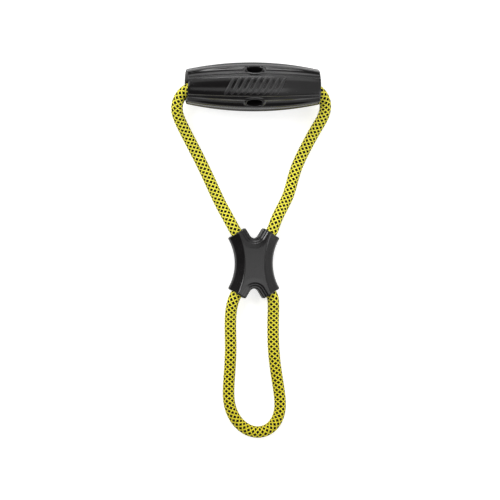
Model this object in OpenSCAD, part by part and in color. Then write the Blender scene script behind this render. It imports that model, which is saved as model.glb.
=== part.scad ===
// Tow rope handle: a fluted barrel grip that turns on a loop of braided rope,
// and an X-shaped keeper that gathers the two legs of rope above a tow loop.
// Millimetres. +Z is up, and the handle lies flat on the plane Z = 0.
// The grip's axis runs along X above the origin, and the rope runs off towards -Y.

/* [Grip] */
// Length of the grip from end to end
grip_len = 125; // [122:1:128]
// Diameter of the grip at mid length
grip_mid_d = 46; // [44:0.5:48]
// Diameter of the grip at its two ends
grip_end_d = 32.6; // [32:0.2:34]
// Depth of a finger flute at mid length
flute_depth = 1.6; // [1:0.1:2]
// Depth of a finger flute at the ends of the grip
flute_end_depth = 0.5; // [0.3:0.1:0.8]
// Radius of the round cutter that shapes a flute
flute_r = 7.1; // [6:0.1:8]
// Length of a window through the sleeve
window_len = 15; // [12:0.5:17]
// Width of a window through the sleeve
window_w = 8.4; // [7:0.2:9]
// Height of the raised bars on the front panel
bar_h = 0.6; // [0.4:0.1:1]
// Chamfer round the outer edge of each end
rim_chamfer = 1.2; // [0.8:0.1:1.6]

/* [Core tube] */
// Outer diameter of the tube inside the grip
core_d = 24; // [23:0.5:25]
// Bore of the tube inside the grip
core_bore_d = 18; // [17:0.5:19]
// Length of the tube inside the grip
core_len = 100; // [98:1:102]
// Diameter of the rings that lock the sleeve to the tube
lock_ring_d = 26.4; // [25.5:0.1:27]
// Radius of the flared mouth at each end of the grip
mouth_r = 14.2; // [14:0.1:14.4]

/* [Rope] */
// Diameter of the rope
rope_d = 11; // [10:0.2:11.4]
// Sides of the tube that stands for a free stretch of rope
rope_sides = 12; // [8:1:12]
// Outer diameter of the crimped ferrule that joins the rope's ends
ferrule_d = 15; // [14:0.5:16]
// Length of the ferrule
ferrule_len = 40; // [30:1:44]

/* [Keeper] */
// Thickness of the keeper
keeper_t = 19; // [18:0.5:20]
// Distance between the two rope channels at the keeper's waist
waist_gap = 16.6; // [16:0.2:17.2]
// Distance between the two rope channels at the keeper's ends
end_gap = 32.5; // [31.5:0.5:33.5]
// Distance from the keeper's waist to the end of a channel
channel_reach = 28.6; // [27.6:0.2:29.6]
// Outer radius of the wall round a rope channel
lobe_r = 9.7; // [9.6:0.1:10]
// Radial room for the rope in its channel
channel_play = 0.3; // [0.2:0.05:0.4]
// Radius at the bottom of the notch between two arms
notch_r = 5; // [4:0.5:6]

/* [Hidden] */
$fn = 96;
eps = 0.02;

// The grip's barrel is an arc turned about its axis.
axis_z = grip_mid_d / 2;
half_len = grip_len / 2;
barrel_sag = (grip_mid_d - grip_end_d) / 2;
barrel_arc_r = (half_len * half_len + barrel_sag * barrel_sag) / (2 * barrel_sag);
barrel_fn = 720;

// A flute follows the barrel along a wider arc, so it fades towards the ends.
flute_mid = grip_mid_d / 2 + flute_r - flute_depth;
flute_drop = flute_mid - (grip_end_d / 2 + flute_r - flute_end_depth);
flute_arc_r = (half_len * half_len + flute_drop * flute_drop) / (2 * flute_drop);
flute_sweep = asin((half_len + 6) / flute_arc_r);
flute_angles = [45, 75, 105, 135];
window_angles = [45, 135];

// The flared mouth is an arc that leaves the bore level and widens to the end.
core_bore_r = core_bore_d / 2;
bell_len = half_len - core_len / 2;
bell_rise = mouth_r - core_bore_r;
bell_arc_r = (bell_len * bell_len + bell_rise * bell_rise) / (2 * bell_rise);
lock_ring_w = 2;
lock_ring_x = [-40, -20, 20, 40];

// Slanted bars on the front panel.
bar_count = 9;
bar_pitch = 6;
bar_w = 2.6;
bar_reach = 7.5;
bar_slant = 28;

// The rope's ends run straight inside the grip up to its middle.
rope_r = rope_d / 2;
run_half = 44;
crimp_x = [-12, 0, 12];
crimp_r = 1.4;
crimp_depth = 0.8;

// The keeper's channels are two arcs that bow towards each other.
keeper_x = 2.5;
keeper_y = -165;
channel_bow = (end_gap - waist_gap) / 2;
channel_arc_r = (channel_reach * channel_reach + channel_bow * channel_bow) / (2 * channel_bow);
channel_sweep = asin(channel_reach / channel_arc_r);
channel_r = rope_r + channel_play;
channel_lead = 1.2;
lead_overlap = 1;
web_reach = channel_reach - 2;
notch_apex_y = 19;
notch_centre_y = notch_apex_y + notch_r / sin(channel_sweep);
notch_side = [notch_r * cos(channel_sweep), notch_centre_y - notch_r * sin(channel_sweep)];
notch_reach = 16;

// A point straight out of a keeper arm, on its channel's line.
end_clear = 0.05;
function arm_point(side, end, out) =
    [keeper_x + side * (end_gap / 2 + out * sin(channel_sweep)),
     keeper_y + end * (channel_reach + out * cos(channel_sweep)), keeper_t / 2];

// Routes of the free stretches of rope: control points of a smooth curve,
// from the grip down to the keeper, and round the tow loop from arm to arm.
leg_left_route = [
    [-44, 0, 23], [-50, 0, 23], [-56.5, -0.5, 22.8], [-63, -3.5, 21.5], [-68, -9, 19.5],
    [-70.7, -16, 17], [-70.4, -23.5, 14], [-67.7, -30.5, 11.2], [-64, -37.5, 8.8],
    [-60, -45, 6.8], [-55.6, -53, 5.5], [-49.4, -65, 5.5], [-42.9, -78, 5.5], [-36.9, -91, 5.5],
    [-31, -104, 5.5], [-26.2, -113.5, 6.2], [-21.6, -122, 8.2],
    arm_point(-1, 1, 7), arm_point(-1, 1, end_clear)];
leg_right_route = [
    [44, 0, 23], [50, 0, 23], [56.5, -0.8, 22.6], [62.7, -3.8, 21.2], [67.5, -9.2, 19],
    [69.8, -16.3, 16.3], [69.2, -24, 13.2], [66.2, -31, 10.3], [62, -38, 7.8], [58, -45.5, 6],
    [53.9, -53, 5.5], [49.2, -62, 5.5], [44.2, -72.5, 5.5], [40.6, -83, 5.5], [38.2, -93, 5.5],
    [35.2, -102.5, 5.5], [30.5, -111.5, 6], [26, -119.5, 7.8], [22.6, -127, 9.3],
    arm_point(1, 1, 4), arm_point(1, 1, end_clear)];
tow_loop_route = [
    arm_point(-1, -1, end_clear), arm_point(-1, -1, 4),
    [-17.6, -202.5, 8.8], [-18.8, -210, 7], [-19.2, -219, 5.7], [-19.1, -230, 5.5],
    [-18.7, -243, 5.5], [-19.1, -256, 5.5], [-20.1, -270, 5.5], [-21, -283, 5.5],
    [-20.8, -294, 5.5], [-18.4, -304, 5.5], [-13.2, -313.5, 5.5], [-5, -320.8, 5.5],
    [5, -324.2, 5.5], [15.2, -322.6, 5.5], [23.2, -316, 5.5], [27.6, -306, 5.5],
    [28.2, -295, 5.5], [26.8, -284, 5.5], [24.8, -271.5, 5.5], [22.8, -258.5, 5.5],
    [21.6, -245, 5.5], [21.2, -232, 5.5], [21.2, -220, 5.7], [21.4, -210.5, 7],
    [21.2, -203, 8.7], arm_point(1, -1, 4), arm_point(1, -1, end_clear)];

// A cubic B-spline that starts and ends on its first and last control points.
function with_ends(route) =
    let (last = len(route) - 1)
    concat([2 * route[0] - route[1]], route, [2 * route[last] - route[last - 1]]);
function centreline(route) =
    let (padded = with_ends(route))
    [for (i = [1:len(padded) - 2]) (padded[i - 1] + 4 * padded[i] + padded[i + 1]) / 6];
function unit(v) = v / norm(v);
function heading(route, i) =
    let (padded = with_ends(route))
    unit(padded[i + 2] - padded[i]);
function ring_points(centre, forward, radius) =
    let (across = unit(cross(forward, [0, 0, 1])),
         upward = cross(across, forward))
    [for (k = [0:rope_sides - 1])
        centre + radius * (cos(360 * k / rope_sides) * across
                           + sin(360 * k / rope_sides) * upward)];

// A plain tube swept along a route, one ring at each control point.
module rope_tube(route) {
    line = centreline(route);
    rings = len(line);
    last = (rings - 1) * rope_sides;
    points = [for (i = [0:rings - 1]) each ring_points(line[i], heading(route, i), rope_r)];
    walls = [for (i = [0:rings - 2], k = [0:rope_sides - 1])
        let (a = i * rope_sides + k,
             b = i * rope_sides + (k + 1) % rope_sides)
        each [[a, a + rope_sides, b], [b, a + rope_sides, b + rope_sides]]];
    first_cap = [for (k = [0:rope_sides - 1]) k];
    last_cap = [for (k = [rope_sides - 1:-1:0]) last + k];
    polyhedron(points = points, faces = concat([first_cap], walls, [last_cap]));
}

// Places what stands along Z onto the grip's axis.
module on_grip_axis() {
    translate([0, 0, axis_z]) rotate([0, 90, 0]) children();
}

// The barrel's half section: radius along X, length along Y.
module barrel_section(extra) {
    end_r = grip_end_d / 2;
    intersection() {
        translate([grip_mid_d / 2 - barrel_arc_r, 0]) circle(r = barrel_arc_r + extra, $fn = barrel_fn);
        polygon([[0, -half_len], [end_r - rim_chamfer, -half_len],
                 [end_r + rim_chamfer, -half_len + 2 * rim_chamfer], [grip_mid_d, 0],
                 [end_r + rim_chamfer, half_len - 2 * rim_chamfer], [end_r - rim_chamfer, half_len],
                 [0, half_len]]);
    }
}

module barrel(extra = 0) {
    on_grip_axis() rotate_extrude() barrel_section(extra);
}

// A cutter for one flute, at an angle round the grip from its front panel.
module flute(angle) {
    translate([0, 0, axis_z]) rotate([angle, 0, 0])
        translate([0, 0, flute_mid - flute_arc_r]) rotate([90, 0, 0])
            rotate([0, 0, 90 - flute_sweep])
                rotate_extrude(angle = 2 * flute_sweep, $fn = barrel_fn)
                    translate([flute_arc_r, 0]) circle(r = flute_r);
}

// A round-ended cutter for one window, from inside the core's surface outwards.
module window(angle) {
    flat = window_len - window_w;
    translate([0, 0, axis_z]) rotate([angle, 0, 0])
        translate([0, 0, core_d / 2 - 2]) linear_extrude(grip_mid_d / 2) {
            square([flat, window_w], center = true);
            for (side = [-1, 1]) translate([side * flat / 2, 0]) circle(d = window_w);
        }
}

// The space inside a flared mouth, at the +X end.
module bell_mouth() {
    on_grip_axis() rotate_extrude() difference() {
        translate([0, core_len / 2 - eps]) square([mouth_r, bell_len + 1]);
        translate([core_bore_r + bell_arc_r, core_len / 2]) circle(r = bell_arc_r, $fn = 180);
    }
}

// The outside of the core tube with its locking rings.
module core_body() {
    on_grip_axis() cylinder(d = core_d, h = core_len, center = true);
    for (x = lock_ring_x)
        translate([x, 0, 0]) on_grip_axis() cylinder(d = lock_ring_d, h = lock_ring_w, center = true);
}

// Raised slanted bars that follow the barrel on its front panel.
module front_bars() {
    intersection() {
        barrel(bar_h);
        translate([0, 0, axis_z + grip_mid_d / 4]) linear_extrude(grip_mid_d) intersection() {
            square([grip_len, 2 * bar_reach], center = true);
            for (i = [0:bar_count - 1])
                translate([(i - (bar_count - 1) / 2) * bar_pitch, 0])
                    rotate([0, 0, -bar_slant]) square([bar_w, 4 * bar_reach], center = true);
        }
    }
}

module grip_sleeve() {
    color("#1c1c1e") difference() {
        union() {
            difference() {
                barrel();
                for (side = [-1, 1], angle = flute_angles) flute(side * angle);
            }
            front_bars();
        }
        core_body();
        bell_mouth();
        mirror([1, 0, 0]) bell_mouth();
        for (side = [-1, 1], angle = window_angles) window(side * angle);
    }
}

module grip_core() {
    color("#3a3a3c") difference() {
        core_body();
        on_grip_axis() cylinder(d = core_bore_d, h = core_len + 2, center = true);
    }
}

module end_ferrule() {
    color("#b9bcc0") difference() {
        on_grip_axis() cylinder(d = ferrule_d, h = ferrule_len, center = true);
        on_grip_axis() cylinder(d = rope_d, h = ferrule_len + 2, center = true);
        for (x = crimp_x)
            translate([x, 0, 0]) on_grip_axis() rotate_extrude()
                translate([ferrule_d / 2 + crimp_r - crimp_depth, 0]) circle(r = crimp_r, $fn = 32);
    }
}

module rope_end(side) {
    color("#d9cf2a") translate([side * run_half / 2, 0, 0]) on_grip_axis()
        cylinder(d = rope_d, h = run_half, center = true);
}

// A round bar along the rope channel on one side of the keeper.
module channel_bar(side, radius, sweep) {
    turn = side > 0 ? 180 : 0;
    translate([keeper_x + side * (waist_gap / 2 + channel_arc_r), keeper_y, keeper_t / 2])
        rotate([0, 0, turn - sweep]) rotate_extrude(angle = 2 * sweep, $fn = 360)
            translate([channel_arc_r, 0]) circle(r = radius, $fn = 96);
}

// The widened lead-in where a channel opens at the end of an arm: a cone that
// starts narrower than the channel, so that it crosses the channel's wall.
module channel_lead_in(side, end) {
    translate([keeper_x + side * end_gap / 2, keeper_y + end * channel_reach, keeper_t / 2])
        rotate([0, 0, -side * end * channel_sweep]) rotate([-end * 90, 0, 0])
            translate([0, 0, -channel_lead - lead_overlap])
                cylinder(r1 = channel_r - lead_overlap, r2 = channel_r + channel_lead + lead_overlap,
                         h = channel_lead + 2 * lead_overlap);
}

// The web that joins the two channel walls, between their centrelines.
module keeper_web() {
    translate([keeper_x, keeper_y, -1]) linear_extrude(keeper_t + 2) difference() {
        square([end_gap, 2 * web_reach], center = true);
        for (side = [-1, 1])
            translate([side * (waist_gap / 2 + channel_arc_r), 0]) circle(r = channel_arc_r, $fn = 360);
    }
}

// The rounded V between the two arms at one end.
module keeper_notch(end) {
    reach = [notch_reach * sin(channel_sweep), notch_reach * cos(channel_sweep)];
    translate([keeper_x, keeper_y, -1]) mirror([0, end > 0 ? 0 : 1, 0]) linear_extrude(keeper_t + 2) {
        translate([0, notch_centre_y]) circle(r = notch_r);
        polygon([[-notch_side.x, notch_side.y], notch_side, notch_side + reach,
                 [-notch_side.x - reach.x, notch_side.y + reach.y]]);
    }
}

module rope_keeper() {
    color("#19191b") difference() {
        intersection() {
            union() {
                for (side = [-1, 1]) channel_bar(side, lobe_r, channel_sweep);
                keeper_web();
            }
            translate([keeper_x - 30, keeper_y - 40, 0]) cube([60, 80, keeper_t]);
        }
        for (side = [-1, 1]) channel_bar(side, channel_r, channel_sweep + 1);
        for (side = [-1, 1], end = [-1, 1]) channel_lead_in(side, end);
        for (end = [-1, 1]) keeper_notch(end);
    }
}

module keeper_run(side) {
    color("#d9cf2a") channel_bar(side, rope_r, channel_sweep);
}

module free_rope(route) {
    color("#d9cf2a") rope_tube(route);
}

grip_sleeve();
grip_core();
end_ferrule();
rope_keeper();
rope_end(-1);  // rope_end_left
rope_end(1);  // rope_end_right
free_rope(leg_left_route);  // leg_left
free_rope(leg_right_route);  // leg_right
keeper_run(-1);  // keeper_run_left
keeper_run(1);  // keeper_run_right
free_rope(tow_loop_route);  // tow_loop
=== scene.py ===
"""Tow rope handle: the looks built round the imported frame. Shapes are worked out in millimetres."""

import math

import bmesh
import bpy
import numpy as np
from mathutils import Matrix, Vector


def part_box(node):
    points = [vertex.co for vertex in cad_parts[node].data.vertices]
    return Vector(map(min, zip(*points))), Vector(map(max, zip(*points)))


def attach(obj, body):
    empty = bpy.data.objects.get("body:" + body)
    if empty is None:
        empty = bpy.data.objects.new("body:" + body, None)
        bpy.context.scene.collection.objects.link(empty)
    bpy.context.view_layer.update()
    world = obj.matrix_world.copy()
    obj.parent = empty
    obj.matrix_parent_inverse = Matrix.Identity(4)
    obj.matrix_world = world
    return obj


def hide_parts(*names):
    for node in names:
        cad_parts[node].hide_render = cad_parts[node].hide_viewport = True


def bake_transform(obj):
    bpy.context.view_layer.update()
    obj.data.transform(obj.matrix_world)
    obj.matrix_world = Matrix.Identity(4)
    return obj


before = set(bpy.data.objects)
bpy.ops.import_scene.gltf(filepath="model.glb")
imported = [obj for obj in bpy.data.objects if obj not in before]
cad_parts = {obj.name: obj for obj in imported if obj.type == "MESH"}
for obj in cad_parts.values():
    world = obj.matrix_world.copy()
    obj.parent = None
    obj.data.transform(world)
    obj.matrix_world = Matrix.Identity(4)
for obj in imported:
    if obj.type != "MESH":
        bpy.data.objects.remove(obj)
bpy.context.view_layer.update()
scene = bpy.context.scene
MM = 0.001


def node_box(name):
    """Lowest and highest corner of a CAD node, in millimetres."""
    low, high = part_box(name)
    return np.array(low) / MM, np.array(high) / MM


SLEEVE_LOW, SLEEVE_HIGH = node_box("grip_sleeve")
CORE_LOW, CORE_HIGH = node_box("grip_core")
KEEPER_LOW, KEEPER_HIGH = node_box("rope_keeper")
AXIS_Z = (CORE_LOW[2] + CORE_HIGH[2]) / 2
HALF_GRIP = (SLEEVE_HIGH[0] - SLEEVE_LOW[0]) / 2
MID_R = (SLEEVE_HIGH[1] - SLEEVE_LOW[1]) / 2
KEEPER_MID = (KEEPER_LOW + KEEPER_HIGH) / 2


# ---------------------------------------------------------------- camera

def make_camera():
    """Looks down on the handle, turned a little about its length."""
    data = bpy.data.cameras.new("camera")
    camera = bpy.data.objects.new("camera", data)
    scene.collection.objects.link(camera)
    yaw = math.radians(6.5)
    distance, view_width = 4.0, 0.469
    target = Vector((-0.0011, -0.1525, 0.010))
    right = Vector((math.cos(yaw), 0, math.sin(yaw)))
    up = Vector((0, 1, 0))
    back = right.cross(up)
    turned = Matrix((right, up, back)).transposed().to_4x4()
    camera.matrix_world = Matrix.Translation(target + back * distance) @ turned
    data.sensor_width = 36
    data.lens = data.sensor_width * distance / view_width
    data.clip_start, data.clip_end = 0.1, 20
    scene.camera = camera


make_camera()


# ---------------------------------------------------------------- mesh and material helpers

def mesh_object(name, points_mm, faces):
    """A smooth-shaded object."""
    mesh = bpy.data.meshes.new(name)
    mesh.from_pydata((np.asarray(points_mm) * MM).tolist(), [], faces)
    mesh.validate()
    mesh.polygons.foreach_set("use_smooth", [True] * len(mesh.polygons))
    mesh.update()
    obj = bpy.data.objects.new(name, mesh)
    scene.collection.objects.link(obj)
    return obj


def smoothstep(low, high, x):
    """0 below low, 1 above high and a smooth rise between."""
    t = np.clip((x - low) / (high - low), 0, 1)
    return t * t * (3 - 2 * t)


def soft_min(a, b, width):
    """The smaller of two values, rounded off where they are within width of each other."""
    h = np.clip(width - np.abs(a - b), 0, None) / width
    return np.minimum(a, b) - h * h * width / 4


def soft_max(a, b, width):
    """The larger of two values, rounded off in the same way."""
    return -soft_min(-a, -b, width)


class Graph:
    """A node material, built with short calls."""

    def __init__(self, name):
        self.material = bpy.data.materials.new(name)
        self.material.use_nodes = True
        self.tree = self.material.node_tree
        self.shader = self.tree.nodes["Principled BSDF"]

    def node(self, kind, inputs=None, **settings):
        made = self.tree.nodes.new(kind)
        for key, value in settings.items():
            setattr(made, key, value)
        for key, value in (inputs or {}).items():
            self.put(made.inputs[key], value)
        return made

    def put(self, socket, value):
        """Links another node's output to the socket, or sets the socket's own value."""
        if isinstance(value, bpy.types.NodeSocket):
            self.tree.links.new(value, socket)
        else:
            socket.default_value = value

    def math(self, operation, *values):
        made = self.node("ShaderNodeMath", operation=operation)
        for socket, value in zip(made.inputs, values):
            self.put(socket, value)
        return made.outputs[0]

    def mix(self, factor, a, b, data_type="RGBA"):
        inputs = {"Factor": factor, "A": a, "B": b}
        return self.node("ShaderNodeMix", inputs, data_type=data_type).outputs["Result"]

    def noise(self, vector, scale, detail=2.0, roughness=0.5):
        inputs = {"Vector": vector, "Scale": scale, "Detail": detail, "Roughness": roughness}
        return self.node("ShaderNodeTexNoise", inputs).outputs["Fac"]

    def ramp(self, value, low, high, out_low=0.0, out_high=1.0):
        """Runs from out_low to out_high while the value runs from low to high."""
        inputs = {"Value": value, "From Min": low, "From Max": high, "To Min": out_low, "To Max": out_high}
        return self.node("ShaderNodeMapRange", inputs).outputs["Result"]

    def place(self):
        return self.node("ShaderNodeTexCoord").outputs["Object"]

    def along(self, axis, vector):
        """One coordinate of a vector."""
        return self.node("ShaderNodeSeparateXYZ", {"Vector": vector}).outputs[axis]

    def stretched(self, vector, scale):
        return self.node("ShaderNodeMapping", {"Vector": vector, "Scale": scale}).outputs[0]

    def bump(self, height, distance, strength):
        inputs = {"Height": height, "Distance": distance, "Strength": strength}
        return self.node("ShaderNodeBump", inputs).outputs["Normal"]

    def surface(self, **values):
        for key, value in values.items():
            self.put(self.shader.inputs[key.replace("_", " ")], value)


# ---------------------------------------------------------------- rope

ROPE_R = 5.5
STRANDS = 12  # in each of the two directions
LAY_PITCH = 27.2
CROWN = 0.26  # how high a strand arches across its width
CRIMP = 0.17  # how far a strand rises and falls as it passes over and under the others
WIDER = 0.69  # how much wider the strands that carry the black are than their neighbours
RUN_HALF = 44.0  # half the rope's straight run inside the grip
AROUND, AROUND_HIDDEN = 96, 48  # mesh points round the rope, and round the hidden ends inside the grip

# The keeper's channels: two arcs that bow towards each other.
CHANNEL_WAIST, CHANNEL_END, CHANNEL_REACH = 8.3, 16.25, 28.6
CHANNEL_BOW = CHANNEL_END - CHANNEL_WAIST
CHANNEL_ARC = (CHANNEL_REACH ** 2 + CHANNEL_BOW ** 2) / (2 * CHANNEL_BOW)
CHANNEL_SWEEP = math.asin(CHANNEL_REACH / CHANNEL_ARC)
CHANNEL_CENTRE = CHANNEL_WAIST + CHANNEL_ARC
END_CLEAR = 0.05  # gap between the rope inside the keeper and the free rope outside


def arm_point(side, end, out):
    """A point straight out of a keeper arm, on its channel's line."""
    return (KEEPER_MID[0] + side * (CHANNEL_END + out * math.sin(CHANNEL_SWEEP)),
            KEEPER_MID[1] + end * (CHANNEL_REACH + out * math.cos(CHANNEL_SWEEP)), KEEPER_MID[2])


LEG_LEFT = [
    (-44, 0, 23), (-50, 0, 23), (-56.5, -0.5, 22.8), (-63, -3.5, 21.5), (-68, -9, 19.5),
    (-70.7, -16, 17), (-70.4, -23.5, 14), (-67.7, -30.5, 11.2), (-64, -37.5, 8.8),
    (-60, -45, 6.8), (-55.6, -53, 5.5), (-49.4, -65, 5.5), (-42.9, -78, 5.5), (-36.9, -91, 5.5),
    (-31, -104, 5.5), (-26.2, -113.5, 6.2), (-21.6, -122, 8.2),
    arm_point(-1, 1, 7), arm_point(-1, 1, END_CLEAR)]
LEG_RIGHT = [
    (44, 0, 23), (50, 0, 23), (56.5, -0.8, 22.6), (62.7, -3.8, 21.2), (67.5, -9.2, 19),
    (69.8, -16.3, 16.3), (69.2, -24, 13.2), (66.2, -31, 10.3), (62, -38, 7.8), (58, -45.5, 6),
    (53.9, -53, 5.5), (49.2, -62, 5.5), (44.2, -72.5, 5.5), (40.6, -83, 5.5), (38.2, -93, 5.5),
    (35.2, -102.5, 5.5), (30.5, -111.5, 6), (26, -119.5, 7.8), (22.6, -127, 9.3),
    arm_point(1, 1, 4), arm_point(1, 1, END_CLEAR)]
TOW_LOOP = [
    arm_point(-1, -1, END_CLEAR), arm_point(-1, -1, 4),
    (-17.6, -202.5, 8.8), (-18.8, -210, 7), (-19.2, -219, 5.7), (-19.1, -230, 5.5),
    (-18.7, -243, 5.5), (-19.1, -256, 5.5), (-20.1, -270, 5.5), (-21, -283, 5.5),
    (-20.8, -294, 5.5), (-18.4, -304, 5.5), (-13.2, -313.5, 5.5), (-5, -320.8, 5.5),
    (5, -324.2, 5.5), (15.2, -322.6, 5.5), (23.2, -316, 5.5), (27.6, -306, 5.5),
    (28.2, -295, 5.5), (26.8, -284, 5.5), (24.8, -271.5, 5.5), (22.8, -258.5, 5.5),
    (21.6, -245, 5.5), (21.2, -232, 5.5), (21.2, -220, 5.7), (21.4, -210.5, 7),
    (21.2, -203, 8.7), arm_point(1, -1, 4), arm_point(1, -1, END_CLEAR)]


def spline(route):
    """Fine points of a cubic B-spline that starts and ends on its first and last control points."""
    per_span = 24
    p = np.array(route, float)
    p = np.vstack([2 * p[0] - p[1], p, 2 * p[-1] - p[-2]])
    a, b, c, d = p[:-3], p[1:-2], p[2:-1], p[3:]
    out = []
    for t in np.arange(per_span) / per_span:
        out.append(((1 - t) ** 3 * a + (3 * t ** 3 - 6 * t * t + 4) * b
                    + (-3 * t ** 3 + 3 * t * t + 3 * t + 1) * c + t ** 3 * d) / 6)
    fine = np.stack(out, 1).reshape(-1, 3)
    return np.vstack([fine, (p[-3] + 4 * p[-2] + p[-1]) / 6])


def channel_line(side):
    """Points down the keeper's channel on one side, from its upper end to its lower end."""
    count = 120
    turn = np.linspace(CHANNEL_SWEEP, -CHANNEL_SWEEP, count)
    x = KEEPER_MID[0] + side * (CHANNEL_CENTRE - CHANNEL_ARC * np.cos(turn))
    y = KEEPER_MID[1] + CHANNEL_ARC * np.sin(turn)
    return np.stack([x, y, np.full(count, KEEPER_MID[2])], 1)


def resample(line, step):
    """Evenly spaced points of a polyline, their unit tangents and their distances along it."""
    along = np.concatenate([[0], np.cumsum(np.linalg.norm(np.diff(line, axis=0), axis=1))])
    count = max(8, int(round(along[-1] / step))) + 1
    at = np.linspace(0, along[-1], count)
    points = np.stack([np.interp(at, along, line[:, k]) for k in range(3)], 1)
    heading = np.gradient(points, axis=0)
    heading /= np.linalg.norm(heading, axis=1)[:, None]
    return points, heading, at


def strand_heights(a, b):
    """How far each of the two sets of strands stands out at a point of the weave."""
    a, b = a - WIDER / np.pi * np.sin(np.pi * a), b - WIDER / np.pi * np.sin(np.pi * b)
    i, j = np.round(a), np.round(b)
    high_a = CROWN * np.sqrt(np.clip(1 - (2 * (a - i)) ** 2, 0, 1)) + CRIMP * np.cos(np.pi * (b + i))
    high_b = CROWN * np.sqrt(np.clip(1 - (2 * (b - j)) ** 2, 0, 1)) - CRIMP * np.cos(np.pi * (a + j))
    return high_a, high_b


def tube_faces(rings, around):
    """Quads between rings of points, then a fan to the middle point of each end."""
    k = np.arange(around)
    after = (k + 1) % around
    r = (np.arange(rings - 1) * around)[:, None]
    quads = np.stack([r + k, r + after, r + around + after, r + around + k], -1).reshape(-1, 4)
    tail = (rings - 1) * around
    first, last = np.full(around, rings * around), np.full(around, rings * around + 1)
    return (quads.tolist() + np.stack([first, after, k], 1).tolist()
            + np.stack([last, tail + k, tail + after], 1).tolist())


def weave_map(mesh, u, v):
    """Writes each quad's place in the weave into a UV map. The fans at the ends come last and stay at 0."""
    u_low, v_low = np.meshgrid(u[:-1], v[:-1])
    u_high, v_high = np.meshgrid(u[1:], v[1:])
    corners = [(u_low, v_low), (u_high, v_low), (u_high, v_high), (u_low, v_high)]
    quads = np.stack([np.stack(corner, -1) for corner in corners], 2).reshape(-1, 2)
    fans = np.zeros((len(mesh.loops) - len(quads), 2))
    mesh.uv_layers.new(name="weave").data.foreach_set("uv", np.vstack([quads, fans]).ravel())


def braid(name, line, start, around):
    """A braided rope along a line. start is how far along the whole rope this piece begins."""
    points, heading, at = resample(line, LAY_PITCH / around)
    across = np.cross(heading, (0, 0, 1))
    across /= np.linalg.norm(across, axis=1)[:, None]
    upward = np.cross(across, heading)
    u = STRANDS * np.arange(around + 1) / around
    v = STRANDS * (at + start) / LAY_PITCH
    high_a, high_b = strand_heights(u[None, :-1] - v[:, None], u[None, :-1] + v[:, None])
    radius = ROPE_R - CROWN - CRIMP + np.maximum(high_a, high_b)
    turn = (np.arange(around) * 2 * np.pi / around)[None, :, None]
    ring = np.cos(turn) * across[:, None] + np.sin(turn) * upward[:, None]
    skin = (points[:, None] + radius[..., None] * ring).reshape(-1, 3)
    obj = mesh_object(name, np.vstack([skin, points[0], points[-1]]), tube_faces(len(points), around))
    weave_map(obj.data, u, v)
    return obj


def rope_material():
    """The weave of the mesh again, in colour: which strand is on top, which strands are black, yarn, and
    painted shade in the valleys between the strands.
    """
    g = Graph("braided_rope_looks")
    uv = g.node("ShaderNodeUVMap", uv_map="weave").outputs[0]
    u, v = g.along("X", uv), g.along("Y", uv)
    a, b = g.math("SUBTRACT", u, v), g.math("ADD", u, v)
    a, b = (g.math("MULTIPLY_ADD", g.math("SINE", g.math("MULTIPLY", c, math.pi)), -WIDER / math.pi, c)
            for c in (a, b))
    i, j = g.math("ROUND", a), g.math("ROUND", b)
    off_a, off_b = g.math("SUBTRACT", a, i), g.math("SUBTRACT", b, j)

    def height(off, along, other, sign):
        wide = g.math("MULTIPLY", off, 2.0)
        left = g.math("SUBTRACT", 1.0, g.math("MULTIPLY", wide, wide))
        arch = g.math("SQRT", g.math("MAXIMUM", left, 0.0))
        wave = g.math("COSINE", g.math("MULTIPLY", g.math("ADD", along, other), math.pi))
        return g.math("MULTIPLY_ADD", arch, CROWN, g.math("MULTIPLY", wave, sign * CRIMP))

    high_a, high_b = height(off_a, b, i, 1), height(off_b, a, j, -1)
    top_a = g.math("GREATER_THAN", high_a, high_b)
    half = g.math("MULTIPLY", i, 0.5)
    even = g.math("LESS_THAN", g.math("ABSOLUTE", g.math("SUBTRACT", half, g.math("ROUND", half))), 0.2)
    black = g.math("MULTIPLY", top_a, even)

    across = g.mix(top_a, off_b, off_a, "FLOAT")
    along = g.mix(top_a, a, b, "FLOAT")
    # Painted shade: how far a strand stands out, so that the valleys of the weave can be coloured darker,
    # standing in for their shade.
    painted_valley_shade = g.ramp(g.math("MAXIMUM", high_a, high_b), 0.02, 0.34)
    yarns, yarn_stretch, strand_shift = 9.0, 0.8, 3.7
    yarn_at = g.node("ShaderNodeCombineXYZ", {
        "X": g.math("MULTIPLY", across, yarns),
        "Y": g.math("MULTIPLY", along, yarn_stretch),
        "Z": g.math("ADD", i, g.math("MULTIPLY", j, strand_shift))}).outputs[0]
    yarn = g.noise(yarn_at, 1.0, 3.0, 0.6)
    place = g.place()
    soil = g.noise(place, 38.0, 3.0)
    worn = g.noise(place, 900.0, 2.0)

    # Painted shade: the yellow runs from a dark brown in the valleys between strands up to full yellow on
    # their crowns.
    yellow = g.mix(painted_valley_shade, (0.34, 0.235, 0.004, 1), (1.0, 0.925, 0.066, 1))
    yellow = g.mix(g.ramp(yarn, 0.35, 0.7, 0.0, 0.35), yellow, (0.98, 0.94, 0.17, 1))
    yellow = g.mix(g.ramp(soil, 0.45, 0.8, 0.0, 0.18), yellow, (0.60, 0.54, 0.04, 1))
    towards_grip = g.along("Y", place)
    yellow = g.mix(g.ramp(towards_grip, -0.27, -0.17, 0.62, 0.0), yellow, (0.70, 0.58, 0.006, 1))
    dark = g.mix(g.ramp(yarn, 0.3, 0.75), (0.003, 0.003, 0.004, 1), (0.009, 0.008, 0.010, 1))
    fibres = g.math("MULTIPLY_ADD", yarn, 0.75, g.math("MULTIPLY", worn, 0.25))
    g.surface(Base_Color=g.mix(black, yellow, dark),
              Roughness=g.ramp(yarn, 0.3, 0.7, 0.45, 0.62),
              Specular_IOR_Level=g.math("MULTIPLY_ADD", black, -0.14, 0.2),
              Sheen_Weight=0.03, Sheen_Roughness=0.4, Sheen_Tint=(1, 0.95, 0.5, 1),
              Normal=g.bump(fibres, 0.00025, 0.8))
    return g.material


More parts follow.
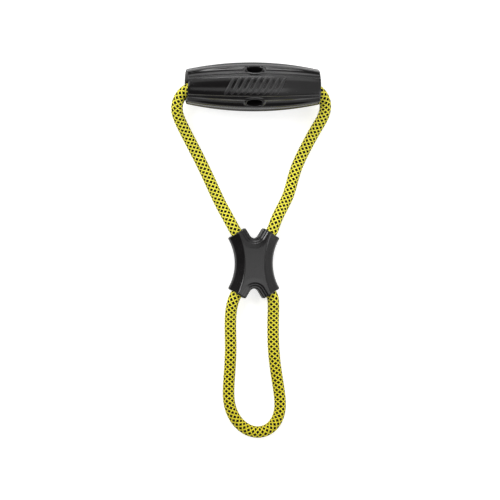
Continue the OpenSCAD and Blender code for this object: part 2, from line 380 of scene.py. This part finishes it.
def make_rope():
    """The rope from one end to the other, as seven lengths of braid."""
    left_leg, right_leg, loop = spline(LEG_LEFT), spline(LEG_RIGHT), spline(TOW_LOOP)
    inside = np.array([[0, 0, AXIS_Z], [RUN_HALF, 0, AXIS_Z]], float)
    order = [
        ("rope_end_left", inside * (-1, 1, 1)),
        ("leg_left", left_leg),
        ("keeper_run_left", channel_line(-1)),
        ("tow_loop", loop),
        ("keeper_run_right", channel_line(1)[::-1]),
        ("leg_right", right_leg[::-1]),
        ("rope_end_right", inside[::-1]),
    ]
    looks = rope_material()
    made, start = {}, 0.0
    for node, line in order:
        around = AROUND_HIDDEN if node.startswith("rope_end") else AROUND
        piece = braid("braid_" + node, line, start, around)
        piece.data.materials.append(looks)
        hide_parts(node)
        made[node] = piece
        start += resample(line, 1.0)[2][-1]
    for node in ("rope_end_left", "rope_end_right"):
        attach(made[node], "rope")
    for node in ("keeper_run_left", "keeper_run_right"):
        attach(made[node], "keeper")
    for node, line in (("leg_left", left_leg), ("leg_right", right_leg), ("tow_loop", loop)):
        length = resample(line, 0.5)[2][-1]
        path = resample(line, 3.0)[0] * MM
        if node == "tow_loop":
            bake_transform(made[node])
        else:
            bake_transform(made[node])


make_rope()


# ---------------------------------------------------------------- grip

END_R = 16.3
FLUTE_R, FLUTE_DEPTH, FLUTE_END_DEPTH = 7.1, 1.6, 0.5
FLUTES = (45, 75, 105, 135)  # degrees round from the middle of the front panel, on both sides
CORE_R, BORE_R, CORE_HALF, MOUTH_R = 12.0, 9.0, 50.0, 14.2
WINDOW_A, WINDOW_B, WINDOW_POWER = 7.5, 4.2, 2.3
WINDOWS = (45, 135, 225, 315)
RIM = 0.95  # radius of the rounded edge at each end

PANEL_HALF, PANEL_NARROWS = 10.4, 1.9  # half the panel's width, and how much less it is at the ends
# The panel's edge steps down and then up again twice: by how much, and from where to where. The drop's
# places are millimetres past the edge, and the rises' are shares of the gap before the first flute.
EDGE_DROP, DROP_BAND = 0.90, (-1.6, 0.3)
FIRST_RISE, FIRST_BAND = 0.62, (0.1, 1.2)
SECOND_RISE, SECOND_BAND = 0.28, (1, 3)
FLUTE_SOFT = 0.7  # width over which a flute's edges are rounded
COLLAR_DEPTH, COLLAR_BAND = 0.35, (1.0, 3.6)  # below the barrel, and the distances over which it fades

LIP, DRAFT = 0.85, 0.3  # radius of a window's rounded lip, and how much its wall closes in below
BLOCK_X, BLOCK_T = 11.5, 6.3  # half the block of mesh round a window: along the grip, and round it
BLOCK_TO_PANEL, BLOCK_TO_SIDE = 16.13, 15.0  # degrees from a window's middle to the block's two sides


def arc_drop(half, fall, x):
    """How far an arc that falls by fall over half its length has fallen at x."""
    radius = (half * half + fall * fall) / (2 * fall)
    return radius - np.sqrt(radius * radius - x * x)


def barrel_r(x):
    """Radius of the barrel before anything is cut into it."""
    return MID_R - arc_drop(HALF_GRIP, MID_R - END_R, x)


def flute_centre(x):
    """How far the middle of a flute's round bottom is from the grip's axis."""
    middle = MID_R + FLUTE_R - FLUTE_DEPTH
    return middle - arc_drop(HALF_GRIP, middle - (END_R + FLUTE_R - FLUTE_END_DEPTH), x)


def flute_half(x):
    """Half the angle that a flute takes up, in degrees."""
    c, r = flute_centre(x), barrel_r(x)
    return np.degrees(np.arccos((c * c + r * r - FLUTE_R ** 2) / (2 * c * r)))


def panel_edge(x):
    """The angle at which the smooth front panel ends: the panel is nearly as wide everywhere."""
    return np.degrees(np.arcsin((PANEL_HALF - PANEL_NARROWS * (x / HALF_GRIP) ** 2) / barrel_r(x)))


def window_reach(x, t):
    """Distance outside a window's outline of a point x along and t round from its middle."""
    level = (np.abs(x / WINDOW_A) ** WINDOW_POWER
             + np.abs(t / WINDOW_B) ** WINDOW_POWER) ** (1 / WINDOW_POWER)
    return np.hypot(x, t) * (1 - 1 / np.maximum(level, 1e-6))


def window_ring(grow, turn):
    """Points of a window's outline, grown by grow, at the given turns."""
    c, s = np.cos(turn), np.sin(turn)
    power = 2 / WINDOW_POWER
    return ((WINDOW_A + grow) * np.sign(c) * np.abs(c) ** power,
            (WINDOW_B + grow) * np.sign(s) * np.abs(s) ** power)


def grip_surface(x, deg):
    """Radius of the sleeve's outside at x, deg degrees round from the middle of the front panel."""
    x, deg = np.broadcast_arrays(np.asarray(x, float), np.asarray(deg, float))
    barrel, c = barrel_r(x), flute_centre(x)
    fold = np.abs((deg + 180) % 360 - 180)
    r, no_cut = barrel.copy(), 99
    for centre in FLUTES:
        off = np.radians(fold - centre)
        inside = FLUTE_R ** 2 - (c * np.sin(off)) ** 2
        near = (inside > 0) & (np.abs(off) < 0.4)
        cut = np.where(near, c * np.cos(off) - np.sqrt(np.clip(inside, 0, None)), no_cut)
        r = soft_min(r, cut, FLUTE_SOFT)
    edge = panel_edge(x)
    room = FLUTES[0] - flute_half(x) - edge
    beyond = np.minimum(fold, 180 - fold) - edge
    t, out = beyond / room, np.radians(beyond) * barrel
    r = (r - EDGE_DROP * smoothstep(*DROP_BAND, out)
         + FIRST_RISE * smoothstep(*FIRST_BAND, t) + SECOND_RISE * smoothstep(*SECOND_BAND, t))
    for centre in WINDOWS:
        away = (deg - centre + 180) % 360 - 180
        collar = 1 - smoothstep(*COLLAR_BAND, window_reach(x, np.radians(away) * MID_R))
        r = np.maximum(r, r + (barrel - COLLAR_DEPTH - r) * collar)
    return r


def grip_lines(x):
    """The angles of the mesh lines that run along the grip, for each x: they follow the flutes' edges."""
    x = np.atleast_1d(np.asarray(x, float))
    edge, half = panel_edge(x), flute_half(x)
    room = FLUTES[0] - half - edge
    zero, soft = 0 * x, 0.9
    stops = [(zero, 9), (edge - 6.2, 12), (edge + 0.2, 4), (edge + 0.2 * room, 2),
             (edge + 0.3 * room, 4), (edge + 0.62 * room, 2)]  # angle, and cells up to the next one
    for centre in FLUTES[:2]:
        stops += [(centre - half - soft, 5), (centre - half + soft, 6), (zero + centre, 6),
                  (centre + half - soft, 5), (centre + half + soft, 3), (zero + centre + 15, 3)]
    quarter = np.concatenate([np.linspace(a, b, cells, endpoint=False)
                              for (a, cells), (b, _) in zip(stops, stops[1:])])
    half_turn = np.concatenate([quarter, zero[None] + 90, 180 - quarter[::-1]])
    return np.concatenate([half_turn, 360 - half_turn[-2:0:-1]]).T


def on_grip(x, deg, r):
    """Points in the row frame from the place along the grip, the angle round it and the radius."""
    a = np.radians(deg)
    x, a, r = np.broadcast_arrays(x, a, r)
    return np.stack([x, -r * np.sin(a), AXIS_Z + r * np.cos(a)], -1)


class Skin:
    """Points and faces of one mesh, gathered ring by ring."""

    def __init__(self):
        self.points, self.faces, self.count = [], [], 0

    def add(self, points):
        """Takes in points and gives their numbers."""
        points = np.asarray(points).reshape(-1, 3)
        self.points.append(points)
        self.count += len(points)
        return np.arange(self.count - len(points), self.count)

    def join(self, first, second):
        """Faces between two closed rings of as many points."""
        self.faces += np.stack([first, np.roll(first, -1), np.roll(second, -1), second], 1).tolist()

    def grow(self, ring, points):
        """Adds a ring of points, joined to the ring before it."""
        new = self.add(points)
        self.join(ring, new)
        return new

    def object(self, name):
        """The mesh, without points that no face uses and with its faces turned outwards."""
        obj = mesh_object(name, np.vstack(self.points), self.faces)
        edit = bmesh.new()
        edit.from_mesh(obj.data)
        bmesh.ops.delete(edit, geom=[v for v in edit.verts if not v.link_faces], context="VERTS")
        bmesh.ops.recalc_face_normals(edit, faces=edit.faces)
        edit.to_mesh(obj.data)
        edit.free()
        return obj


def sleeve_stations():
    """Where the mesh's rings lie along the grip: on its outside, and on the wall round the core."""
    block = np.linspace(-BLOCK_X, BLOCK_X, 17)
    even_to = 56  # the rings are evenly spaced this far out and then crowd towards the rim
    side = np.concatenate([np.linspace(BLOCK_X, even_to, 27), [57.8, 59.4, 60.6, HALF_GRIP - RIM]])
    core_side = np.array([17, 24, 32, 42, CORE_HALF])
    return (np.concatenate([-side[::-1], block[1:-1], side]),
            np.concatenate([-core_side[::-1], block, core_side]))


def window_columns(lines):
    """The numbers of the mesh lines that bound the block round each window."""
    columns = []
    for centre in WINDOWS:
        low, high = BLOCK_TO_SIDE, BLOCK_TO_PANEL
        if centre % 180 < 90:
            low, high = high, low
        columns.append([int(np.argmin(np.abs(lines - angle))) for angle in (centre - low, centre + high)])
    return columns


def sleeve_wall(skin, grid, xs, lines, columns):
    """Faces of the outside or of the wall round the core, open at the windows. Gives each opening's rim."""
    around = grid.shape[1]
    first, last = (int(np.argmin(np.abs(xs - at))) for at in (-BLOCK_X, BLOCK_X))
    for k in range(len(grid) - 1):
        opened = np.zeros(around, bool)
        if first <= k < last:
            for low, high in columns:
                opened[low:high] = True
        t = np.nonzero(~opened)[0]
        after = (t + 1) % around
        quads = np.stack([grid[k, t], grid[k, after], grid[k + 1, after], grid[k + 1, t]], 1)
        skin.faces += quads.tolist()
    rims = []
    for centre, (low, high) in zip(WINDOWS, columns):
        rows, across = np.arange(first, last + 1), np.arange(low, high + 1)
        loop = ([(first, c) for c in across[:-1]] + [(r, high) for r in rows[:-1]]
                + [(last, c) for c in across[:0:-1]] + [(r, low) for r in rows[:0:-1]])
        row, column = np.array(loop).T
        x = xs[row]
        t = np.radians(lines[row, column] - centre) * MID_R
        rims.append((grid[row, column], x, t, np.arctan2(t / BLOCK_T, x / BLOCK_X)))
    return rims


def window_walls(skin, centre, outer_rim, inner_rim):
    """Joins the two rims of one window: up to its lip, over it, down its wall and out to the core's wall."""
    def angle(t):
        return centre + np.degrees(t / MID_R)

    ring, x, t, turn = outer_rim
    edge_x, edge_t = window_ring(LIP, turn)
    for f in np.arange(1, 9) / 8:
        px, deg = x + (edge_x - x) * f, angle(t + (edge_t - t) * f)
        ring = skin.grow(ring, on_grip(px, deg, grip_surface(px, deg)))
    for tilt in np.radians([18, 36, 54, 72, 90]):
        px, pt = window_ring(LIP * (1 - math.sin(tilt)), turn)
        lip_r = grip_surface(px, angle(pt)) - LIP * (1 - math.cos(tilt))
        ring = skin.grow(ring, on_grip(px, angle(pt), lip_r))
    for f in (0.2, 0.4, 0.6, 0.8, 1.0):
        px, pt = window_ring(-DRAFT * f, turn)
        ring = skin.grow(ring, on_grip(px, angle(pt), lip_r + (CORE_R - lip_r) * f))
    inside, x, t, turn = inner_rim
    bottom_x, bottom_t = window_ring(-DRAFT, turn)
    for f in (0.35, 0.7):
        px, pt = x + (bottom_x - x) * f, t + (bottom_t - t) * f
        inside = skin.grow(inside, on_grip(px, angle(pt), CORE_R))
    skin.join(inside, ring)


def sleeve_end(skin, end, ring, core_ring):
    """Closes one end: a rounded rim, the end face, the mouth's rounded edge and the flare to the bore."""
    lines = grip_lines(HALF_GRIP)[0]
    for tilt in np.radians([15, 30, 45, 60, 75, 90]):
        x = HALF_GRIP - RIM + RIM * math.sin(tilt)
        r = grip_surface(x, lines) - RIM * (1 - math.cos(tilt))
        ring = skin.grow(ring, on_grip(end * x, lines, r))
    for depth, r in ((0, 14.72), (0.07, 14.4), (0.3, 14.02)):
        ring = skin.grow(ring, on_grip(end * (HALF_GRIP - depth), lines, r))
    for x in (61.8, 61.2, 60.4, 59.4, 58.2, 56.8, 55.2, 53.4, 51.6, CORE_HALF):
        flare = BORE_R + arc_drop(HALF_GRIP - CORE_HALF, MOUTH_R - BORE_R, x - CORE_HALF)
        ring = skin.grow(ring, on_grip(end * x, lines, flare))
    skin.join(ring, core_ring)


def make_sleeve():
    skin = Skin()
    outer_x, inner_x = sleeve_stations()
    outer_lines, inner_lines = grip_lines(outer_x), grip_lines(inner_x)
    surface = grip_surface(outer_x[:, None], outer_lines)
    outer = skin.add(on_grip(outer_x[:, None], outer_lines, surface)).reshape(outer_lines.shape)
    inner = skin.add(on_grip(inner_x[:, None], inner_lines, CORE_R)).reshape(inner_lines.shape)
    columns = window_columns(grip_lines(0)[0])
    outer_rims = sleeve_wall(skin, outer, outer_x, outer_lines, columns)
    inner_rims = sleeve_wall(skin, inner, inner_x, inner_lines, columns)
    for centre, outer_rim, inner_rim in zip(WINDOWS, outer_rims, inner_rims):
        window_walls(skin, centre, outer_rim, inner_rim)
    sleeve_end(skin, -1, outer[0], inner[0])
    sleeve_end(skin, 1, outer[-1], inner[-1])
    return skin.object("grip_sleeve_moulding")


def make_bars():
    """Raised slanted bars on the front panel, each with rounded edges and ends."""
    skin = Skin()
    count, pitch, half_width, half_length, height = 9, 6.0, 1.5, 8.0, 0.6
    slant, sunk, squareness = math.radians(28), -0.5, 2.6
    end_share, thinnest = 0.35, 0.02  # of the height at a bar's very end, and of the width squared there
    across = np.sin(np.linspace(-1, 1, 17) * math.pi / 2)
    raised = height * np.sqrt(np.clip(1 - np.abs(across) ** squareness, 0, 1))
    across = np.concatenate([[-1], across, [1]])
    raised = np.concatenate([[sunk], raised, [sunk]])
    tip = np.array([0, 0.012, 0.035, 0.07, 0.12])
    for k in range(count):
        middle = (k - (count - 1) / 2) * pitch
        rings = []
        for f in np.concatenate([tip, np.linspace(0.16, 0.84, 18), 1 - tip[::-1]]):
            y = half_length * (2 * f - 1)
            near = min(f, 1 - f) * 2 * half_length / half_width
            narrow = math.sqrt(max(thinnest, 1 - max(0, 1 - near) ** 2))
            x = middle + y * math.tan(slant) + across * half_width * narrow / math.cos(slant)
            base = np.sqrt(np.clip(barrel_r(x) ** 2 - y * y, 1, None))
            lift = np.where(raised > 0, raised * min(1, end_share + near), raised)
            rings.append(skin.add(np.stack([x, np.full_like(x, y), AXIS_Z + base + lift], 1)))
        for first, second in zip(rings, rings[1:]):
            skin.join(first, second)
        skin.faces += [rings[0].tolist(), rings[-1].tolist()]
    return skin.object("grip_sleeve_bars")


def rubber_material(name, tone, rough, grain, grain_depth, seam_z, side_rough=0.0, shine=0.5):
    """Moulded black rubber: a fine surface texture, rubbed patches, fine scratches and a mould line.

    side_rough is added to the roughness of upright walls. grain_depth and seam_z are in metres.
    """
    g = Graph(name)
    place = g.place()
    patches = g.noise(place, 55.0, 4.0, 0.6)
    texture = g.noise(place, grain, 3.0, 0.6)
    scratches = g.ramp(g.noise(g.stretched(place, (60, 900, 900)), 1.0), 0.66, 0.72)
    from_seam = g.math("ABSOLUTE", g.math("SUBTRACT", g.along("Z", place), seam_z))
    seam = g.ramp(from_seam, 0.0, 0.00018, 1.0, 0.0)
    dark = (tone * 0.83, tone * 0.76, tone * 0.8, 1)
    light = (tone * 1.30, tone * 1.18, tone * 1.24, 1)
    worn = (tone * 2.2, tone * 2.1, tone * 2.15, 1)
    colour = g.mix(g.ramp(patches, 0.3, 0.7), dark, light)
    colour = g.mix(g.math("MULTIPLY", scratches, 0.35), colour, worn)
    roughness = g.math("ADD", g.ramp(patches, 0.3, 0.75, rough * 0.85, rough * 1.2),
                       g.math("MULTIPLY", scratches, 0.12))
    if side_rough:
        facing = g.along("Z", g.node("ShaderNodeTexCoord").outputs["Normal"])
        steep = g.ramp(g.math("ABSOLUTE", facing), 0.15, 0.5, side_rough, 0.0)
        roughness = g.math("ADD", roughness, steep)
    relief = g.math("MULTIPLY_ADD", seam, 1.5, texture)
    g.surface(Base_Color=colour, Roughness=roughness, Specular_IOR_Level=shine,
              Normal=g.bump(relief, grain_depth, 0.7))
    return g.material


def core_material():
    """Dull dark grey plastic with a little dust."""
    g = Graph("core_plastic_looks")
    place = g.place()
    speck = g.noise(place, 1400.0, 3.0, 0.6)
    dust = g.noise(place, 90.0, 3.0)
    colour = g.mix(g.ramp(dust, 0.35, 0.7), (0.16, 0.16, 0.17, 1), (0.24, 0.24, 0.245, 1))
    g.surface(Base_Color=colour, Roughness=g.ramp(speck, 0.3, 0.7, 0.42, 0.6),
              Normal=g.bump(speck, 0.00006, 0.7))
    return g.material


def ferrule_material():
    """Drawn aluminium tube with fine lines along it and dull patches."""
    g = Graph("ferrule_aluminium_looks")
    place = g.place()
    lines = g.noise(g.stretched(place, (80, 2600, 2600)), 1.0, 3.0, 0.6)
    dull = g.noise(place, 160.0, 3.0)
    colour = g.mix(g.ramp(dull, 0.35, 0.75), (0.68, 0.69, 0.71, 1), (0.50, 0.50, 0.52, 1))
    g.surface(Base_Color=colour, Roughness=g.ramp(lines, 0.3, 0.7, 0.26, 0.42), Metallic=1.0,
              Normal=g.bump(lines, 0.00004, 0.6))
    return g.material


def make_grip():
    """The sleeve in glossy rubber with matt end faces, its matt bars, and the core and ferrule inside."""
    seam_z = AXIS_Z * MM
    glossy = rubber_material("grip_rubber_looks", 0.006, 0.16, 1500.0, 0.000008, seam_z)
    matt = rubber_material("grip_bars_looks", 0.013, 0.33, 1500.0, 0.000012, seam_z)
    ends = rubber_material("grip_ends_looks", 0.012, 0.60, 900.0, 0.00002, seam_z, shine=0.08)
    sleeve, bars = make_sleeve(), make_bars()
    for piece, looks in ((sleeve, glossy), (bars, matt)):
        piece.data.materials.append(looks)
        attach(piece, "grip")
    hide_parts("grip_sleeve")
    sleeve.data.materials.append(ends)
    for face in sleeve.data.polygons:
        if abs(face.normal.x) > 0.75:
            face.material_index = 1
    for node, looks in (("grip_core", core_material()), ("end_ferrule", ferrule_material())):
        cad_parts[node].material_slots[0].material = looks


make_grip()


# ---------------------------------------------------------------- keeper

HALF_T = (KEEPER_HIGH[2] - KEEPER_LOW[2]) / 2
LOBE_R, CHANNEL_R, LEAD = 9.7, 5.8, 1.2
NOTCH_R, NOTCH_APEX = 5.0, 19.0
NOTCH_CENTRE = NOTCH_APEX + NOTCH_R / math.sin(CHANNEL_SWEEP)
LIP_STEPS = ((0.66, 2.3, 3.8), (0.60, 4.4, 5.9), (0.30, 5, 10))  # depth, and from and to where it slopes
RIDGE_MID, RIDGE_SWING, RIDGE_REACH = 1.1, 1.9, 28  # the line where the flat top meets the bevel
BEVEL_OUT, BEVEL_UP = 0.603, 0.798  # the direction in which the bevel faces
TOP_SOFT, LOBE_SOFT, NOTCH_SOFT, END_SOFT, BORE_SOFT = 0.6, 2.2, 1.4, 1.3, 0.7  # widths of rounded edges


def keeper_field(p):
    """Signed distance, near enough, to the keeper's surface: negative inside. Points are from its middle."""
    x, y, z = np.abs(p[..., 0]), np.abs(p[..., 1]), np.abs(p[..., 2])
    from_centre = np.hypot(CHANNEL_CENTRE - x, y)
    outboard = CHANNEL_ARC - from_centre
    turn = np.arctan2(y, CHANNEL_CENTRE - x)
    past_end = from_centre * np.sin(turn - CHANNEL_SWEEP)
    s, c = math.sin(CHANNEL_SWEEP), math.cos(CHANNEL_SWEEP)
    along = x * s + (y - NOTCH_CENTRE) * c
    notch = np.where(along < 0, np.hypot(x, y - NOTCH_CENTRE) - NOTCH_R, x * c - (y - NOTCH_APEX) * s)

    sunk = sum(depth * (1 - smoothstep(start, end, notch)) for depth, start, end in LIP_STEPS)
    ridge = RIDGE_MID - RIDGE_SWING * (y / RIDGE_REACH) ** 2
    bevel = BEVEL_OUT * (outboard - ridge) + BEVEL_UP * (z - HALF_T)
    body = soft_max(z - HALF_T + sunk, bevel, TOP_SOFT)
    body = soft_max(body, outboard - LOBE_R, LOBE_SOFT)
    body = soft_max(body, -notch, NOTCH_SOFT)
    body = soft_max(body, past_end, END_SOFT)
    bore = CHANNEL_R + np.clip(past_end + LEAD, 0, 2 * LEAD) - np.hypot(outboard, z)
    return soft_max(body, bore, BORE_SOFT)


def net_points(grid, value):
    """A point in each cell that the surface crosses, and each cell's point number, or -1."""
    cells = np.array(value.shape) - 1
    total, hits = np.zeros((*cells, 3)), np.zeros(cells)

    def corner(offset):
        return tuple(slice(k, k + n) for k, n in zip(offset, cells))

    for axis in range(3):
        for other in ((0, 0), (0, 1), (1, 0), (1, 1)):
            first, second = list(other), list(other)
            first.insert(axis, 0)
            second.insert(axis, 1)
            a, b = value[corner(first)], value[corner(second)]
            cross = (a < 0) != (b < 0)
            t = np.where(cross, a / np.where(cross, a - b, 1), 0)[..., None]
            pa, pb = grid[corner(first)], grid[corner(second)]
            total += np.where(cross[..., None], pa + (pb - pa) * t, 0)
            hits += cross
    used = hits > 0
    number = np.full(cells, -1)
    number[used] = np.arange(used.sum())
    return total[used] / hits[used][:, None], number


def net_faces(value, number, axis):
    """A quad round each grid edge along one axis that the surface crosses, turned outwards."""
    b, c = (axis + 1) % 3, (axis + 2) % 3
    inner = [slice(0, n) for n in number.shape]
    inner[b], inner[c] = slice(1, number.shape[b]), slice(1, number.shape[c])
    ahead = list(inner)
    ahead[axis] = slice(1, number.shape[axis] + 1)
    at = np.argwhere((value[tuple(inner)] < 0) != (value[tuple(ahead)] < 0))
    at[:, b] += 1
    at[:, c] += 1
    back_b, back_c = np.eye(3, dtype=int)[[b, c]]
    cells = (at, at - back_b, at - back_b - back_c, at - back_c)
    quads = np.stack([number[tuple(cell.T)] for cell in cells], 1)
    solid_behind = value[tuple(at.T)] < 0
    quads[~solid_behind] = quads[~solid_behind][:, ::-1]
    return quads


def surface_net(field, reach, step):
    """A closed quad mesh of the field's zero surface, with each point moved onto it."""
    axes = [np.arange(-a, a + step, step) for a in reach]
    grid = np.stack(np.meshgrid(*axes, indexing="ij"), -1)
    value = field(grid)
    points, number = net_points(grid, value)
    faces = [net_faces(value, number, axis) for axis in range(3)]
    tiny = 1e-3
    for _ in range(4):
        slope = np.stack([(field(points + d) - field(points - d)) / (2 * tiny)
                          for d in np.eye(3) * tiny], -1)
        move = field(points)[:, None] * slope / np.maximum((slope ** 2).sum(1), 0.05)[:, None]
        points = points - np.clip(move, -step / 2, step / 2)
    return points, np.vstack(faces)


def make_keeper():
    step = 0.42
    grid_reach = (27.3, 36.2, 10.4)  # half the grid's size: the keeper with room to spare
    points, faces = surface_net(keeper_field, grid_reach, step)
    obj = mesh_object("rope_keeper_moulding", points + KEEPER_MID, faces.tolist())
    obj.data.materials.append(rubber_material(
        "keeper_rubber_looks", 0.007, 0.20, 1100.0, 0.00001, KEEPER_MID[2] * MM, side_rough=0.45))
    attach(obj, "keeper")
    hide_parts("rope_keeper")


make_keeper()


# ---------------------------------------------------------------- floor and light

def make_stage():
    """A pale flat floor that also glows a little, so that shadows stay faint."""
    just_below = -0.0002
    bpy.ops.mesh.primitive_grid_add(x_subdivisions=2, y_subdivisions=2, size=8,
                                    location=(0, -0.15, just_below))
    floor = bpy.context.object
    floor.name = "floor"
    g = Graph("pale_floor")
    clouds = g.ramp(g.noise(g.place(), 3.0), 0.3, 0.7)
    g.surface(Base_Color=g.mix(clouds, (0.55, 0.55, 0.55, 1), (0.57, 0.57, 0.57, 1)), Roughness=0.9,
              Specular_IOR_Level=0.1, Emission_Color=(1, 1, 1, 1), Emission_Strength=0.72)
    floor.data.materials.append(g.material)


def softbox(name, position, size, brightness, target):
    """A rectangular light of a given brightness, so that its size and its reflection are set apart."""
    data = bpy.data.lights.new(name, "AREA")
    data.shape = "RECTANGLE"
    data.size, data.size_y = size
    data.energy = brightness * math.pi * size[0] * size[1]
    light = bpy.data.objects.new(name, data)
    scene.collection.objects.link(light)
    light.location = position
    light.rotation_mode = "QUATERNION"
    light.rotation_quaternion = (Vector(target) - Vector(position)).to_track_quat("-Z", "Y")


def make_world():
    """A room that is white low down and nearly dark above."""
    world = bpy.data.worlds.new("studio")
    scene.world = world
    world.use_nodes = True
    tree = world.node_tree
    direction = tree.nodes.new("ShaderNodeTexCoord").outputs["Generated"]
    split = tree.nodes.new("ShaderNodeSeparateXYZ")
    tree.links.new(direction, split.inputs["Vector"])
    fade = tree.nodes.new("ShaderNodeMapRange")
    tree.links.new(split.outputs["Z"], fade.inputs["Value"])
    for key, number in (("From Min", 0.03), ("From Max", 0.12), ("To Min", 0.75), ("To Max", 0.05)):
        fade.inputs[key].default_value = number
    tree.links.new(fade.outputs["Result"], tree.nodes["Background"].inputs["Strength"])
    tree.nodes["Background"].inputs["Color"].default_value = (1, 1, 1, 1)


def make_lights():
    """A key from the left, bright strips beyond the grip, and dim panels overhead and to the right."""
    softbox("key_left", (-1.20, 0.50, 1.47), (0.8, 0.6), 12.0, (0, -0.1, 0))
    softbox("side_low_right", (1.5, -0.9, 1.0), (1.0, 0.8), 3.0, (0, -0.15, 0))
    softbox("upper_strip", (-0.3, 1.40, 0.80), (1.8, 0.24), 9.0, (0, 0, 0.02))
    softbox("upper_line", (-0.01, 1.08, 1.04), (0.62, 0.08), 10.0, (0, 0, 0.03))
    softbox("upper_soft", (-0.2, 1.0, 1.25), (2.4, 0.6), 0.8, (0, 0, 0))
    softbox("lower_strip", (0.1, -1.7, 0.5), (1.6, 0.5), 0.7, (0, -0.1, 0.02))
    softbox("overhead_upper", (0.19, 0.13, 1.0), (0.28, 0.40), 0.9, (0.19, 0.13, 0))
    softbox("overhead_strip", (0.155, -0.34, 1.0), (0.41, 0.4), 1.9, (0.155, -0.34, 0))
    softbox("overhead_left", (-0.23, -0.27, 1.0), (0.36, 0.30), 0.9, (-0.23, -0.27, 0))
    softbox("overhead_right", (0.66, 0.35, 1.0), (0.8, 2.6), 0.6, (0.66, 0.35, 0))
    softbox("side_right", (1.5, -0.2, 0.72), (1.6, 1.4), 0.5, (0, -0.2, 0.72))


make_stage()
make_world()
make_lights()
scene.view_settings.view_transform = "Standard"
